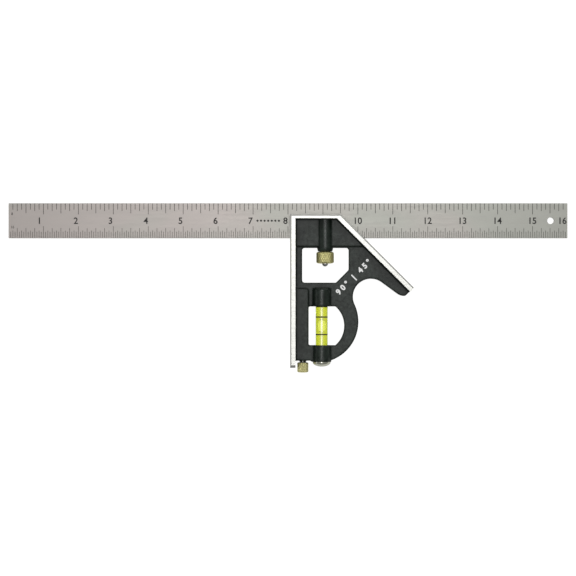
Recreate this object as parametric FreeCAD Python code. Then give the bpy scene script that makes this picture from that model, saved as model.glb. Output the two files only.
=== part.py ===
"""A sixteen-inch combination square: a steel blade held in a cast head with a square face and a mitre face.

X runs along the blade, Y across it and Z through the head's thickness, with the square lying on its side.
The origin is where the head's square face meets the blade's lower edge, in the blade's middle plane.
A draw bolt hooks into the groove in the blade's back, and the knurled nut pulls it against the slot's floor.
A spirit level lies in the handle, and a scriber is stored in the bottom of the head.
Lengths are in millimetres.
"""

import FreeCAD, Part
import math
import os

from FreeCAD import Vector

INCH = 25.4
ROOT_HALF = math.sqrt(0.5)
ALONG_Y = Vector(0, 1, 0)
SWEEP_PAST = 1.0  # how far a cutting tool runs past the face that it opens

# Blade
blade_length = 16 * INCH
blade_width = 1 * INCH
blade_thickness = 2.4
blade_left_reach = 204.7  # blade left of the square face, as the square is stored
blade_edge_break = 0.15
groove_width = 3.2
groove_depth = 1.0
hang_hole_radius = 2.4
hang_hole_from_end = 12.3

# Head: flanges, web, cheeks
head_thickness = 19.0
strip_width = 3.9  # machined front of the square flange and of the mitre flange
top_strip_width = 2.65
top_above_groove = 4.3
mitre_offset = 53.7  # where the mitre face crosses the line of the blade's lower edge
mitre_face_length = 75.0
flange_chamfer = 1.0
flange_end_bevel = 1.9
flange_draft = 0.9  # how much thicker a flange is at the middle plane than at its front
square_flange_overhang = 4.2  # square flange below the level's lower boss
web_thickness = 4.5
web_edge_round = 0.8
cheek_thickness = 7.0  # over both cheeks and the slot, and over the scriber's block
cheek_edge_round = 0.6
cheek_foot = 1.05  # cheek's lower edge above the nut window
slot_clearance = 0.05  # each side of the blade
slot_floor_gap = 0.02

# Head: windows and handle, from the blade's lower edge downwards
nut_window_drop = 7.1
nut_window_height = 25.2
nut_window_width = 33.8
nut_window_corner_cut = 9.2
nut_window_round = 1.8
post_width = 4.9  # between the square flange's strip and the nut window
bar_height = 4.0  # between the nut window and the level's upper boss
upper_boss_length = 13.3
level_window_height = 28.2
level_window_left = 13.5
level_window_arc_x = 20.7
level_window_arc_radius = 18.7
level_window_round = 1.2
lower_boss_length = 12.0
body_rise = 0.8  # the casting's bottom edge above the lower boss's end
boss_fairing = 1.5
handle_x = 19.9
handle_radius = 29.8
handle_dip = 0.7  # how far the handle's circle would dip below the lower boss
notch_radius = 13.1
notch_angle = math.radians(25.0)  # from the handle's centre to the thumb notch's centre
arm_tip_radius = 8.0
arm_tip_back = 6.4
arm_tip_inward = 3.5
arm_end_round = 2.0
block_corner_round = 2.0
block_top_gap = 0.2  # the scriber block's top edge below the upper boss's

# Draw bolt, spring and nut
bolt_x = 25.5
bolt_guide_radius = 3.5
bolt_guide_length = 2.6
bolt_shank_radius = 2.3
bolt_tip = -20.6
bolt_rise = 0.8  # one turn of the nut
bolt_flat_clearance = 0.1
bolt_head_above_lip = 0.5
lip_height = 2.2
lip_seat_gap = 0.03
bore_clearance = 0.1
shank_clearance = 0.25
clamp_boss_wall = 2.25
clamp_boss_end = 2.4  # boss below the nut window's top edge
clamp_boss_end_wall = 1.7
clamp_boss_taper = 0.55
spring_wire = 0.7
spring_turns = 3.5
spring_end_gap = 0.03
nut_radius = 6.4
nut_length = 8.9
nut_upper_dome = 1.6
nut_lower_dome = 1.1
nut_seat_radius = 3.2
nut_seat_gap = 0.05
nut_thread_clearance = 0.05

# Spirit level
level_x = 23.0
vial_radius = 4.35
vial_wall = 0.95
vial_length = 42.0
vial_cavity_length = 30.0
vial_cavity_round = 2.4
vial_bore_clearance = 0.05
level_boss_wall = 2.6
level_boss_round = 1.2
pad_clearance = 0.05
upper_pad_thickness = 1.5
lower_pad_thickness = 1.0
ring_spacing = 12.7
ring_width = 0.9
ring_depth = 0.25
bubble_length = 9.5
bubble_width = 5.4
bubble_depth = 2.4
bubble_height = 1.6  # bubble's middle above the vial's axis
cap_radius = 6.6
cap_rim = 0.5
cap_dome = 3.1
cap_stem_clearance = 0.02

# Scriber
scriber_x = 9.3
scriber_radius = 1.2
scriber_clearance = 0.15
scriber_tip_wall = 3.0  # casting left above the stored point
scriber_tip_gap = 1.0
scriber_point_length = 9.0
scriber_point_radius = 0.08
knob_radius = 4.05
knob_length = 7.5
knob_dome = 0.8
knob_gap = 0.15
knob_hold = 5.0  # needle pressed this far into the knob
bush_wall = 1.05
bush_length = 8.0
bush_flange = 1.0
bush_flange_lip = 0.4
bush_grip_gap = 0.03
bush_slit = 1.2

# Places worked out from the sizes above
half_blade = blade_thickness / 2
half_head = head_thickness / 2
half_web = web_thickness / 2
half_cheek = cheek_thickness / 2
blade_right = blade_length - blade_left_reach
groove_y = blade_width / 2
head_top = groove_y + top_above_groove
corner_x = mitre_offset - head_top
nut_window_top = -nut_window_drop
nut_window_bottom = nut_window_top - nut_window_height
nut_window_left = strip_width + post_width
cheek_bottom = nut_window_top + cheek_foot
upper_boss_top = nut_window_bottom - bar_height
level_window_top = upper_boss_top - upper_boss_length
level_window_bottom = level_window_top - level_window_height
level_y = (level_window_top + level_window_bottom) / 2
lower_boss_bottom = level_window_bottom - lower_boss_length
body_bottom = lower_boss_bottom + body_rise
flange_bottom = lower_boss_bottom - square_flange_overhang
block_top = upper_boss_top - block_top_gap
clamp_bore_radius = bolt_guide_radius + bore_clearance
clamp_boss_radius = clamp_bore_radius + clamp_boss_wall
clamp_boss_bottom = nut_window_top - clamp_boss_end
spring_seat = clamp_boss_bottom + clamp_boss_end_wall
lip_bottom = groove_y - groove_width / 2 + lip_seat_gap
bolt_guide_top = -(bolt_rise + 0.2)
bolt_guide_bottom = bolt_guide_top - bolt_guide_length
nut_top = clamp_boss_bottom - nut_seat_gap
vial_top = level_y + vial_length / 2
vial_bottom = level_y - vial_length / 2
cavity_radius = vial_radius - vial_wall
cavity_top = level_y + vial_cavity_length / 2
cavity_bottom = level_y - vial_cavity_length / 2
level_bore_radius = vial_radius + vial_bore_clearance
level_boss_radius = level_bore_radius + level_boss_wall
level_bore_end = vial_top + upper_pad_thickness
cap_stem_top = vial_bottom - lower_pad_thickness
scriber_bore_end = block_top - scriber_tip_wall
scriber_tip = scriber_bore_end - scriber_tip_gap
bush_radius = scriber_radius + bush_grip_gap + bush_wall
bush_bottom = body_bottom - bush_flange
knob_top = bush_bottom - knob_gap
knob_bottom = knob_top - knob_length
mitre_end = Vector(
    corner_x + mitre_face_length * ROOT_HALF, head_top - mitre_face_length * ROOT_HALF, 0
)
mitre_inward = Vector(-ROOT_HALF, -ROOT_HALF, 0)
mitre_forward = Vector(ROOT_HALF, -ROOT_HALF, 0)


def polygon_prism(points, half_height):
    """Solid with this XY outline, from -half_height to half_height in Z."""
    corners = [Vector(p[0], p[1], -half_height) for p in points]
    outline = Part.makePolygon(corners + corners[:1])
    return Part.Face(outline).extrude(Vector(0, 0, 2 * half_height))


def box_between(low, high):
    """Box from its lowest corner to its highest."""
    size = Vector(*high) - Vector(*low)
    return Part.makeBox(size.x, size.y, size.z, Vector(*low))


def round_bar(radius, x, bottom, top):
    """Round bar along Y with its axis in the middle plane."""
    return Part.makeCylinder(radius, top - bottom, Vector(x, bottom, 0), ALONG_Y)


def turned(profile, x):
    """Solid turned about the Y axis at x. The profile is a list of edges whose X is the radius."""
    face = Part.Face(Part.Wire(profile))
    face.translate(Vector(x, 0, 0))
    return face.revolve(Vector(x, 0, 0), ALONG_Y, 360)


def line(start, end):
    return Part.LineSegment(start, end).toShape()


def arc(start, middle, end):
    return Part.Arc(start, middle, end).toShape()


def arc_about(centre, radius, start, end, turn):
    """Arc from start to end round a centre, the way that turn says: 1 is anticlockwise."""
    a = math.atan2(start.y - centre.y, start.x - centre.x)
    b = math.atan2(end.y - centre.y, end.x - centre.x)
    swept = (b - a) * turn % (2 * math.pi) * turn
    middle = a + swept / 2
    return arc(start, centre + Vector(math.cos(middle), math.sin(middle), 0) * radius, end)


def edges_at_height(solid, height):
    """Edges that lie in the planes Z = height and Z = -height."""
    return [
        e
        for e in solid.Edges
        if all(abs(abs(v.Z) - height) < 1e-6 for v in e.Vertexes) and e.BoundBox.ZLength < 1e-6
    ]


def upright_edges(solid):
    """Edges that run along Z."""
    return [e for e in solid.Edges if e.BoundBox.XLength < 1e-6 and e.BoundBox.YLength < 1e-6]


def upright_edge_at(solid, point):
    """The upright edge nearest to a point in XY."""
    flat = Vector(point.x, point.y, 0)

    def distance(edge):
        at = edge.Vertexes[0].Point
        return Vector(at.x, at.y, 0).distanceToPoint(flat)

    return min(upright_edges(solid), key=distance)


def blade():
    """Ground steel rule with a groove along the middle of its back and a hole to hang it by."""
    body = box_between(
        (-blade_left_reach, 0, -half_blade), (blade_right, blade_width, half_blade)
    )
    long_edges = [e for e in body.Edges if e.BoundBox.XLength > blade_length / 2]
    body = body.makeChamfer(blade_edge_break, long_edges)
    groove = box_between(
        (-blade_left_reach - SWEEP_PAST, groove_y - groove_width / 2, -half_blade - SWEEP_PAST),
        (blade_right + SWEEP_PAST, groove_y + groove_width / 2, -half_blade + groove_depth),
    )
    hole = Part.makeCylinder(
        hang_hole_radius,
        blade_thickness + 2 * SWEEP_PAST,
        Vector(blade_right - hang_hole_from_end, groove_y, -half_blade - SWEEP_PAST),
    )
    return body.cut(groove).cut(hole)


def flange_frame():
    """The three machined flanges as one band: square face, top edge and mitre face."""
    inner_y = head_top - top_strip_width
    inner_corner = Vector(mitre_offset - strip_width / ROOT_HALF - inner_y, inner_y, 0)
    mitre_end_inner = mitre_end + mitre_inward * strip_width
    band = polygon_prism(
        [
            (0, flange_bottom),
            (0, head_top),
            (corner_x, head_top),
            mitre_end,
            mitre_end_inner,
            inner_corner,
            (strip_width, inner_y),
            (strip_width, flange_bottom),
        ],
        half_head,
    )

    def is_outer(edge):
        middle = edge.valueAt((edge.FirstParameter + edge.LastParameter) / 2)
        on_square = abs(middle.x) < 1e-6
        on_top = abs(middle.y - head_top) < 1e-6
        on_mitre = abs(middle.x + middle.y - mitre_offset) < 1e-6
        return on_square or on_top or on_mitre

    outer = [e for e in edges_at_height(band, half_head) if is_outer(e)]
    band = band.makeChamfer(flange_chamfer, outer)

    # Draft: a long low wedge inside each flange, highest at the middle plane
    left_wedge = draft_wedge(
        Vector(strip_width, body_bottom, 0), ALONG_Y, Vector(1, 0, 0), inner_y - body_bottom
    )
    top_wedge = draft_wedge(
        Vector(strip_width, inner_y, 0), Vector(1, 0, 0), Vector(0, -1, 0), inner_corner.x - strip_width
    )
    mitre_wedge = draft_wedge(
        inner_corner, mitre_forward, mitre_inward, inner_corner.distanceToPoint(mitre_end_inner)
    )
    band = band.fuse([left_wedge, top_wedge, mitre_wedge])
    for side in (1, -1):
        band = band.cut(end_bevel(side))
    return band


def draft_wedge(start, along, inward, length):
    """Triangular bar on a flange's inner wall: nothing at the front and back, flange_draft at Z = 0."""
    up = Vector(0, 0, half_head)
    profile = Part.makePolygon(
        [start + up, start + inward * flange_draft, start - up, start + up]
    )
    return Part.Face(profile).extrude(along * length)


def end_bevel(side):
    """Wedge that bevels the lower end of the square flange at the front (side 1) or back (side -1)."""
    low = flange_bottom - SWEEP_PAST
    profile = Part.makePolygon(
        [
            Vector(-SWEEP_PAST, flange_bottom + flange_end_bevel, side * half_head),
            Vector(-SWEEP_PAST, low, side * (half_head - flange_end_bevel - SWEEP_PAST)),
            Vector(-SWEEP_PAST, low, side * (half_head + SWEEP_PAST)),
            Vector(-SWEEP_PAST, flange_bottom + flange_end_bevel, side * (half_head + SWEEP_PAST)),
            Vector(-SWEEP_PAST, flange_bottom + flange_end_bevel, side * half_head),
        ]
    )
    width = strip_width + 2 * SWEEP_PAST
    return Part.Face(profile).extrude(Vector(width, 0, 0))


def inner_tangent(notch, tip):
    """Where the arm's straight underside leaves the thumb notch's circle and meets the arm tip's circle."""
    across = tip - notch
    distance = across.Length
    e = across / distance
    m = Vector(-e.y, e.x, 0)
    cosine = (notch_radius + arm_tip_radius) / distance
    n = e * cosine + m * math.sqrt(1 - cosine**2)
    return notch + n * notch_radius, tip - n * arm_tip_radius


def arm_end_meets_tip(tip):
    """Where the arm's flat end, running inward from the mitre face, meets the arm tip's circle."""
    to_end = mitre_end - tip
    b = to_end.dot(mitre_inward)
    c = to_end.dot(to_end) - arm_tip_radius**2
    return mitre_end + mitre_inward * (-b + math.sqrt(b**2 - c))


def web():
    """Flat plate inside the flanges: windows, round handle, thumb notch and the mitre arm."""
    hidden_x = strip_width / 2
    hidden_top = head_top - top_strip_width / 2
    hidden_corner = Vector(mitre_offset - hidden_x / ROOT_HALF - hidden_top, hidden_top, 0)
    hidden_end = mitre_end + mitre_inward * hidden_x
    tip = mitre_end - mitre_forward * arm_tip_back + mitre_inward * arm_tip_inward
    end_corner = arm_end_meets_tip(tip)
    handle = Vector(handle_x, lower_boss_bottom + handle_radius - handle_dip, 0)
    toward_notch = Vector(math.cos(notch_angle), math.sin(notch_angle), 0)
    notch = handle + toward_notch * (handle_radius + notch_radius)
    waist = handle + toward_notch * handle_radius
    notch_leave, tip_meet = inner_tangent(notch, tip)
    heel_x = level_x + 0.6 * level_boss_radius
    heel = Vector(heel_x, handle.y - math.sqrt(handle_radius**2 - (heel_x - handle.x) ** 2), 0)
    start = Vector(hidden_x, body_bottom, 0)
    outline = Part.Wire(
        [
            line(start, Vector(hidden_x, hidden_top, 0)),
            line(Vector(hidden_x, hidden_top, 0), hidden_corner),
            line(hidden_corner, hidden_end),
            line(hidden_end, end_corner),
            arc_about(tip, arm_tip_radius, end_corner, tip_meet, -1),
            line(tip_meet, notch_leave),
            arc_about(notch, notch_radius, notch_leave, waist, 1),
            arc_about(handle, handle_radius, waist, heel, -1),
            line(heel, Vector(level_x, body_bottom, 0)),
            line(Vector(level_x, body_bottom, 0), start),
        ]
    )
    plate = Part.Face(outline).extrude(Vector(0, 0, web_thickness))
    plate.translate(Vector(0, 0, -half_web))
    plate = plate.makeFillet(arm_end_round, [upright_edge_at(plate, end_corner)])
    plate = plate.cut(nut_window()).cut(level_window())

    def is_open(edge):
        middle = edge.valueAt((edge.FirstParameter + edge.LastParameter) / 2)
        under_square = middle.x < strip_width
        under_top = middle.y > head_top - top_strip_width
        under_mitre = middle.x + middle.y > mitre_offset - strip_width / ROOT_HALF
        in_heel = middle.y < body_bottom + 1e-3 and middle.x < heel_x
        return not (under_square or under_top or under_mitre or in_heel)

    return plate.makeFillet(web_edge_round, [e for e in edges_at_height(plate, half_web) if is_open(e)])


def nut_window():
    """Prism that opens the window round the lock nut."""
    right = nut_window_left + nut_window_width
    window = polygon_prism(
        [
            (nut_window_left, nut_window_bottom),
            (right - nut_window_corner_cut, nut_window_bottom),
            (right, nut_window_bottom + nut_window_corner_cut),
            (right, nut_window_top),
            (nut_window_left, nut_window_top),
        ],
        half_head,
    )
    return window.makeFillet(nut_window_round, upright_edges(window))


def level_window():
    """Prism that opens the D-shaped window round the level."""
    centre = Vector(level_window_arc_x, level_y, 0)
    half = level_window_height / 2
    reach = level_window_arc_x + math.sqrt(level_window_arc_radius**2 - half**2)
    corners = [
        Vector(reach, level_window_bottom, 0),
        Vector(reach, level_window_top, 0),
        Vector(level_window_left, level_window_top, 0),
        Vector(level_window_left, level_window_bottom, 0),
    ]
    outline = Part.Wire(
        [
            arc_about(centre, level_window_arc_radius, corners[0], corners[1], 1),
            line(corners[1], corners[2]),
            line(corners[2], corners[3]),
            line(corners[3], corners[0]),
        ]
    )
    window = Part.Face(outline).extrude(Vector(0, 0, head_thickness))
    window.translate(Vector(0, 0, -half_head))
    return window.makeFillet(level_window_round, upright_edges(window))


def cheeks():
    """Raised panel on each side of the blade's slot."""
    hidden_x = strip_width / 2
    hidden_top = head_top - top_strip_width / 2
    mitre_line = mitre_offset - hidden_x / ROOT_HALF
    panel = polygon_prism(
        [
            (hidden_x, cheek_bottom),
            (mitre_line - cheek_bottom, cheek_bottom),
            (mitre_line - hidden_top, hidden_top),
            (hidden_x, hidden_top),
        ],
        half_cheek,
    )
    foot = [e for e in edges_at_height(panel, half_cheek) if e.BoundBox.YMax < cheek_bottom + 1e-6]
    return panel.makeFillet(cheek_edge_round, foot)


def scriber_block():
    """Raised block that holds the scriber's bore, running under the level's window to the lower boss."""
    hidden_x = strip_width / 2
    fairing_x = level_x - level_boss_radius
    block = polygon_prism(
        [
            (hidden_x, body_bottom),
            (fairing_x - boss_fairing, body_bottom),
            (fairing_x, lower_boss_bottom),
            (level_x, lower_boss_bottom),
            (level_x, level_window_bottom),
            (level_window_left, level_window_bottom),
            (level_window_left, block_top),
            (hidden_x, block_top),
        ],
        half_cheek,
    )
    inner = Vector(level_window_left, level_window_bottom, 0)
    outer = Vector(level_window_left, block_top, 0)
    block = block.makeFillet(level_window_round, [upright_edge_at(block, inner)])
    block = block.makeFillet(block_corner_round, [upright_edge_at(block, outer)])

    def is_open(edge):
        middle = edge.valueAt((edge.FirstParameter + edge.LastParameter) / 2)
        return strip_width / 2 + 1e-3 < middle.x < level_x - 1e-3

    edges = [e for e in edges_at_height(block, half_cheek) if is_open(e)]
    return block.makeFillet(cheek_edge_round, edges)


def clamp_boss():
    """Round boss that houses the draw bolt, tapering where it stands into the nut window."""
    body = round_bar(clamp_boss_radius, bolt_x, nut_window_top, head_top - top_strip_width / 2)
    end = Part.makeCone(
        clamp_boss_radius - clamp_boss_taper,
        clamp_boss_radius,
        clamp_boss_end,
        Vector(bolt_x, clamp_boss_bottom, 0),
        ALONG_Y,
    )
    return body.fuse(end)


def level_bosses():
    """Upper and lower bosses that hold the level's ends."""
    upper = round_bar(level_boss_radius, level_x, level_window_top, upper_boss_top)
    crown = [e for e in upper.Edges if e.BoundBox.YMin > upper_boss_top - 1e-6]
    upper = upper.makeFillet(level_boss_round, crown)
    lower = round_bar(level_boss_radius, level_x, lower_boss_bottom, level_window_bottom)
    return upper, lower


def head_casting():
    """The cast head with its slot and bores machined."""
    upper_boss, lower_boss = level_bosses()
    body = web().fuse([cheeks(), scriber_block(), clamp_boss(), upper_boss, lower_boss])
    body = body.fuse(flange_frame())
    slot_half = half_blade + slot_clearance
    slot = box_between(
        (-SWEEP_PAST, -slot_floor_gap, -slot_half),
        (mitre_offset + SWEEP_PAST, head_top + SWEEP_PAST, slot_half),
    )
    clamp_bore = round_bar(clamp_bore_radius, bolt_x, spring_seat, head_top + SWEEP_PAST)
    shank_bore = round_bar(
        bolt_shank_radius + shank_clearance, bolt_x, clamp_boss_bottom - SWEEP_PAST, spring_seat
    )
    level_bore = round_bar(
        level_bore_radius, level_x, lower_boss_bottom - SWEEP_PAST, level_bore_end
    )
    bush_bore = round_bar(bush_radius, scriber_x, body_bottom - SWEEP_PAST, body_bottom + bush_length)
    scriber_bore = round_bar(
        scriber_radius + scriber_clearance, scriber_x, body_bottom, scriber_bore_end
    )
    for tool in (slot, clamp_bore, shank_bore, level_bore, bush_bore, scriber_bore):
        body = body.cut(tool)
    return body.removeSplitter()


def lock_bolt():
    """Draw bolt: its head is cut away beside the blade, and a lip reaches into the blade's groove."""
    flat_z = -half_blade - bolt_flat_clearance
    lip_top = lip_bottom + lip_height
    head_end = lip_top + bolt_head_above_lip
    guide = round_bar(bolt_guide_radius, bolt_x, bolt_guide_bottom, bolt_guide_top)
    column = round_bar(bolt_guide_radius, bolt_x, bolt_guide_top, head_end)
    beside_blade = box_between(
        (bolt_x - bolt_guide_radius, bolt_guide_top - SWEEP_PAST, -bolt_guide_radius - SWEEP_PAST),
        (bolt_x + bolt_guide_radius, head_end + SWEEP_PAST, flat_z),
    )
    half_chord = math.sqrt(bolt_guide_radius**2 - flat_z**2)
    lip = box_between(
        (bolt_x - half_chord, lip_bottom, flat_z),
        (bolt_x + half_chord, lip_top, -half_blade + groove_depth - bolt_flat_clearance),
    )
    shank = round_bar(bolt_shank_radius, bolt_x, bolt_tip + bolt_shank_radius, bolt_guide_bottom)
    end = Part.makeSphere(bolt_shank_radius, Vector(bolt_x, bolt_tip + bolt_shank_radius, 0))
    return column.common(beside_blade).fuse([lip, guide, shank, end]).removeSplitter()


def lock_spring():
    """Compression spring between the bolt's guide and the boss's end wall, which lifts the slack bolt."""
    low = spring_seat + spring_wire / 2 + spring_end_gap
    high = bolt_guide_bottom - spring_wire / 2 - spring_end_gap
    coil_radius = (clamp_bore_radius + bolt_shank_radius) / 2
    pitch = (high - low) / spring_turns
    helix = Part.makeHelix(pitch, high - low, coil_radius)
    section = Part.Wire(
        [Part.makeCircle(spring_wire / 2, Vector(coil_radius, 0, 0), ALONG_Y)]
    )
    coil = Part.Wire(helix).makePipeShell([section], True, True)
    coil.rotate(Vector(0, 0, 0), Vector(1, 0, 0), -90)
    coil.translate(Vector(bolt_x, low, 0))
    return coil


def lock_nut():
    """Knurled nut with crowned ends, plain here at its full outside radius."""
    bore = bolt_shank_radius + nut_thread_clearance
    bottom = nut_top - nut_length
    side_top = nut_top - nut_upper_dome
    side_bottom = bottom + nut_lower_dome
    middle_radius = nut_seat_radius + 0.6 * (nut_radius - nut_seat_radius)
    upper_middle = Vector(middle_radius, side_top + 0.62 * nut_upper_dome, 0)
    lower_middle = Vector(middle_radius, side_bottom - 0.62 * nut_lower_dome, 0)
    return turned(
        [
            line(Vector(bore, nut_top, 0), Vector(nut_seat_radius, nut_top, 0)),
            arc(Vector(nut_seat_radius, nut_top, 0), upper_middle, Vector(nut_radius, side_top, 0)),
            line(Vector(nut_radius, side_top, 0), Vector(nut_radius, side_bottom, 0)),
            arc(Vector(nut_radius, side_bottom, 0), lower_middle, Vector(nut_seat_radius, bottom, 0)),
            line(Vector(nut_seat_radius, bottom, 0), Vector(bore, bottom, 0)),
            line(Vector(bore, bottom, 0), Vector(bore, nut_top, 0)),
        ],
        bolt_x,
    )


def vial_rings():
    """The two index rings set into the vial, upper first."""
    rings = []
    for side in (1, -1):
        middle = level_y + side * ring_spacing / 2
        low, high = middle - ring_width / 2, middle + ring_width / 2
        hoop = round_bar(vial_radius, level_x, low, high)
        rings.append(hoop.cut(round_bar(vial_radius - ring_depth, level_x, low, high)))
    return rings


def vial_cavity():
    """The space inside the vial: round at its upper end, and cut off flat by the end plug."""
    space = round_bar(cavity_radius, level_x, cavity_bottom, cavity_top)
    crown = [e for e in space.Edges if e.BoundBox.YMin > cavity_top - 1e-6]
    return space.makeFillet(vial_cavity_round, crown)


def vial_tube():
    """Clear moulded tube, closed at its upper end."""
    tube = round_bar(vial_radius, level_x, vial_bottom, vial_top)
    tube = tube.cut(vial_cavity()).cut(vial_end_plug())
    for ring in vial_rings():
        tube = tube.cut(ring)
    return tube


def vial_end_plug():
    """Clear plug welded into the vial's lower end."""
    return round_bar(cavity_radius, level_x, vial_bottom, cavity_bottom)


def vial_bubble():
    """The bubble, a flat ellipsoid at the upper side of the vial."""
    ball = Part.makeSphere(1.0)
    stretch = FreeCAD.Matrix()
    stretch.scale(Vector(bubble_width / 2, bubble_length / 2, bubble_depth / 2))
    ball = ball.transformGeometry(stretch)
    ball.translate(Vector(level_x, level_y, bubble_height))
    return ball


def vial_fluid():
    """The dyed spirit that fills the vial round the bubble."""
    return vial_cavity().cut(vial_bubble())


def vial_pad_upper():
    return round_bar(vial_radius - pad_clearance, level_x, vial_top, level_bore_end)


def vial_pad_lower():
    return round_bar(vial_radius - pad_clearance, level_x, cap_stem_top, vial_bottom)


def vial_cap():
    """Domed metal plug that closes the level's bore."""
    rim_bottom = lower_boss_bottom - cap_rim
    stem = level_bore_radius - cap_stem_clearance
    dome_bottom = rim_bottom - cap_dome
    ball_radius = (cap_radius**2 + cap_dome**2) / (2 * cap_dome)
    half_angle = math.asin(cap_radius / ball_radius) / 2
    ball_centre = dome_bottom + ball_radius
    on_dome = Vector(
        ball_radius * math.sin(half_angle), ball_centre - ball_radius * math.cos(half_angle), 0
    )
    return turned(
        [
            line(Vector(0, cap_stem_top, 0), Vector(stem, cap_stem_top, 0)),
            line(Vector(stem, cap_stem_top, 0), Vector(stem, lower_boss_bottom, 0)),
            line(Vector(stem, lower_boss_bottom, 0), Vector(cap_radius, lower_boss_bottom, 0)),
            line(Vector(cap_radius, lower_boss_bottom, 0), Vector(cap_radius, rim_bottom, 0)),
            arc(Vector(cap_radius, rim_bottom, 0), on_dome, Vector(0, dome_bottom, 0)),
            line(Vector(0, dome_bottom, 0), Vector(0, cap_stem_top, 0)),
        ],
        level_x,
    )


def scriber_needle():
    """Hardened steel needle with a long point."""
    foot = knob_top - knob_hold
    shoulder = scriber_tip - scriber_point_length
    shaft = round_bar(scriber_radius, scriber_x, foot, shoulder)
    point = Part.makeCone(
        scriber_radius,
        scriber_point_radius,
        scriber_point_length,
        Vector(scriber_x, shoulder, 0),
        ALONG_Y,
    )
    return shaft.fuse(point)


def scriber_knob():
    """Knurled grip pressed on the needle, plain here at its full outside radius."""
    side_top = knob_top - knob_dome
    side_bottom = knob_bottom + knob_dome
    hub = scriber_radius + bush_wall / 2
    middle = hub + 0.55 * (knob_radius - hub)
    upper_middle = Vector(middle, side_top + 0.68 * knob_dome, 0)
    lower_middle = Vector(middle, side_bottom - 0.68 * knob_dome, 0)
    knob = turned(
        [
            line(Vector(0, knob_top, 0), Vector(hub, knob_top, 0)),
            arc(Vector(hub, knob_top, 0), upper_middle, Vector(knob_radius, side_top, 0)),
            line(Vector(knob_radius, side_top, 0), Vector(knob_radius, side_bottom, 0)),
            arc(Vector(knob_radius, side_bottom, 0), lower_middle, Vector(hub, knob_bottom, 0)),
            line(Vector(hub, knob_bottom, 0), Vector(0, knob_bottom, 0)),
            line(Vector(0, knob_bottom, 0), Vector(0, knob_top, 0)),
        ],
        scriber_x,
    )
    return knob.cut(round_bar(scriber_radius, scriber_x, knob_top - knob_hold, knob_top))


def scriber_bush():
    """Split friction bush pressed into the casting, with a flange below it."""
    sleeve = round_bar(bush_radius, scriber_x, body_bottom, body_bottom + bush_length)
    flange = Part.makeCone(
        bush_radius,
        bush_radius + bush_flange_lip,
        bush_flange,
        Vector(scriber_x, bush_bottom, 0),
        ALONG_Y,
    )
    low = bush_bottom - SWEEP_PAST
    high = body_bottom + bush_length + SWEEP_PAST
    hole = round_bar(scriber_radius + bush_grip_gap, scriber_x, low, high)
    slit = box_between(
        (scriber_x - bush_slit / 2, low, 0), (scriber_x + bush_slit / 2, high, half_cheek)
    )
    return sleeve.fuse(flange).removeSplitter().cut(hole).cut(slit)


ring_upper, ring_lower = vial_rings()
nodes = {
    "blade": blade(),
    "head_casting": head_casting(),
    "lock_bolt": lock_bolt(),
    "lock_spring": lock_spring(),
    "lock_nut": lock_nut(),
    "vial_tube": vial_tube(),
    "vial_end_plug": vial_end_plug(),
    "vial_fluid": vial_fluid(),
    "vial_bubble": vial_bubble(),
    "vial_ring_upper": ring_upper,
    "vial_ring_lower": ring_lower,
    "vial_pad_upper": vial_pad_upper(),
    "vial_pad_lower": vial_pad_lower(),
    "vial_cap": vial_cap(),
    "scriber_needle": scriber_needle(),
    "scriber_knob": scriber_knob(),
    "scriber_bush": scriber_bush(),
}

os.makedirs("parts", exist_ok=True)
for name, shape in nodes.items():
    shape.exportStep(f"parts/{name}.step")
    print(f"{name:16s} solids {len(shape.Solids)} valid {shape.isValid()} volume {shape.Volume:9.1f} mm3")
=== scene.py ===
import math

import bmesh
import bpy
import numpy as np
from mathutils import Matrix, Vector


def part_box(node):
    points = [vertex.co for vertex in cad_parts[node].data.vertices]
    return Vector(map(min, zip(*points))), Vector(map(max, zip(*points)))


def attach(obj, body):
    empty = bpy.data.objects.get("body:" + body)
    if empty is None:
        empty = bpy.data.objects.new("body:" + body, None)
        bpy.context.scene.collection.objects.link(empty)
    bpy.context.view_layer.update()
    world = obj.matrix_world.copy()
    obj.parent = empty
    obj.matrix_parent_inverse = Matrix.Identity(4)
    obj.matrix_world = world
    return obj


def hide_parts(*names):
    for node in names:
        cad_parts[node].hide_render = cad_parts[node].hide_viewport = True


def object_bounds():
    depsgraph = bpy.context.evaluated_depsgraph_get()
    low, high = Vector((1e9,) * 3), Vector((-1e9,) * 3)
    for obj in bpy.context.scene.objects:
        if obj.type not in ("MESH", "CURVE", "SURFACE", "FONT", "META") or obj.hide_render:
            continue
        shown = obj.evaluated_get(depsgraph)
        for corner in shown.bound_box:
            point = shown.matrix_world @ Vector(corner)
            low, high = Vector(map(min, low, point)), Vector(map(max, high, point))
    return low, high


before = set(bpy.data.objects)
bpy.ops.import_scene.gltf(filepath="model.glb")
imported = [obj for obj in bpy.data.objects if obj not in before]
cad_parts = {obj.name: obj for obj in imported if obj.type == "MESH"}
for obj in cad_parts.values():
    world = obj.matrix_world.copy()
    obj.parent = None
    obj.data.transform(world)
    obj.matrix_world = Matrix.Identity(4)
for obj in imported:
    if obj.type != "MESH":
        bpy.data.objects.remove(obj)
cad_box = [list(corner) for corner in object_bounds()]

# ---------------------------------------------------------------------------------------------
# Camera: straight above the square, which lies on its side with the head's top edge away from us.
# A long lens keeps the flanges' inner walls out of sight.
# ---------------------------------------------------------------------------------------------
mm = 0.001
VIEW_CENTRE = (-1.5 * mm, -36.2 * mm)
VIEW_WIDTH = 419.1 * mm
LENS = 135.0
SENSOR = 36.0

camera_data = bpy.data.cameras.new("camera")
camera_data.lens = LENS
camera_data.sensor_width = SENSOR
camera_height = VIEW_WIDTH * LENS / SENSOR
camera = bpy.data.objects.new("camera", camera_data)
camera.location = (*VIEW_CENTRE, camera_height)
bpy.context.scene.collection.objects.link(camera)
bpy.context.scene.camera = camera

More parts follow.
